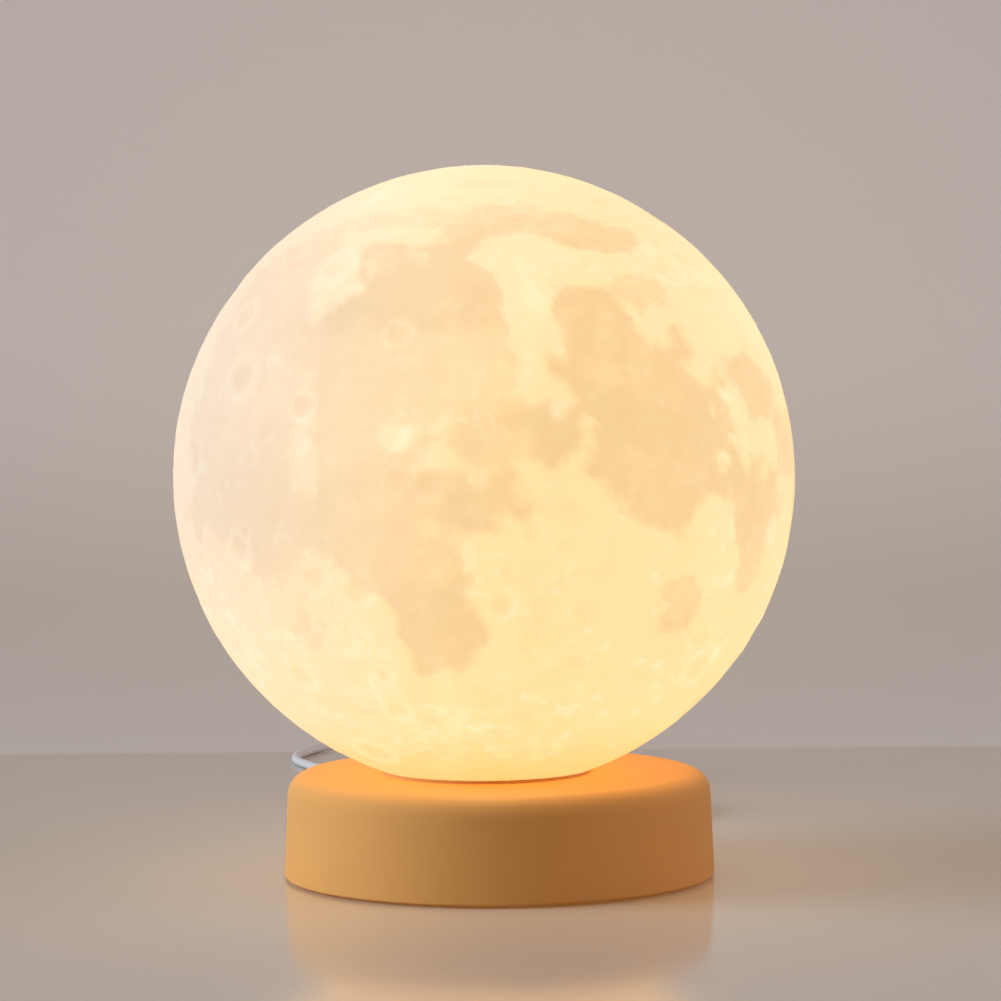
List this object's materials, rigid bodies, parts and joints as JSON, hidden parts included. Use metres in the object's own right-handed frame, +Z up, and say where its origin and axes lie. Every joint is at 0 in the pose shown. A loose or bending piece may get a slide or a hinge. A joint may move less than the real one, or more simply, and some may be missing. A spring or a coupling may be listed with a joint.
{
  "type": "moon lamp",
  "caption": "Table lamp: a printed moon globe lit from below, standing loose on a round moulded base, with a thin supply lead, a rocker switch in the lead and a plug.",
  "frame": {"origin": "on the axis of the round base, on the table that its rubber ring stands on", "axes": "+Z up; -Y to the front, as pictured; the lead leaves at the back, +Y"},
  "size_m": [0.18, 0.4255, 0.2062],
  "materials": {
    "glowing_shell": "printed translucent white, lit from inside",
    "white_plastic": "satin",
    "tan_plastic": "satin",
    "rubber": "matte",
    "zinc_steel": "zinc plated",
    "ballast_steel": "blanked, oiled",
    "frosted_lens": "frosted, lit",
    "white_board": "white solder mask",
    "led_phosphor": "phosphor dome",
    "aluminium": "milled",
    "wire_jacket": "satin",
    "green_board": "green solder mask",
    "black_plastic": "moulded",
    "ferrite": "sintered",
    "lead_jacket": "satin",
    "switch_plastic": "satin",
    "brass": "stamped",
    "plug_steel": "nickel plated",
    "gilt": "gold plated"
  },
  "bodies": {
    "base": {"base_cover": "tan_plastic", "bottom_plate": "tan_plastic", "rubber_ring": "rubber", "cover_screws": "zinc_steel", "ballast_ring": "ballast_steel", "ballast_screws": "zinc_steel", "lens": "frosted_lens", "reflector_ring": "white_plastic", "led_board": "white_board", "led_chips": "led_phosphor", "led_board_screws": "zinc_steel", "heat_spreader": "aluminium", "spreader_screws": "zinc_steel", "led_wires": "wire_jacket", "driver_board": "green_board", "driver_board_screws": "zinc_steel", "driver_chip": "black_plastic", "driver_inductor": "ferrite", "driver_capacitor": "aluminium", "supply_connector": "white_plastic", "supply_wires": "wire_jacket", "strain_relief": "lead_jacket", "switch_top": "switch_plastic", "switch_bottom": "switch_plastic", "switch_screws": "zinc_steel", "switch_contacts": "brass", "plug_grip": "lead_jacket", "plug_shell": "plug_steel", "plug_tongue": "white_plastic", "plug_pins": "gilt", "lead_to_coil": "lead_jacket", "lead_coil": "lead_jacket", "lead_to_switch": "lead_jacket", "lead_to_plug": "lead_jacket"},
    "globe": {"globe_shell": "glowing_shell", "mouth_ring": "white_plastic"},
    "rocker": {"switch_rocker": "switch_plastic"}
  },
  "joints": [
    {"name": "globe_lift", "type": "slide", "parent": "base", "child": "globe", "axis": [0, 0, 1], "range_m": [0, 0.06]},
    {"name": "rocker_throw", "type": "hinge", "parent": "base", "child": "rocker", "pos_m": [0.026, 0.222, 0.0082], "axis": [-0.9511, -0.309, 0], "range_deg": [0, 16]}
  ]
}
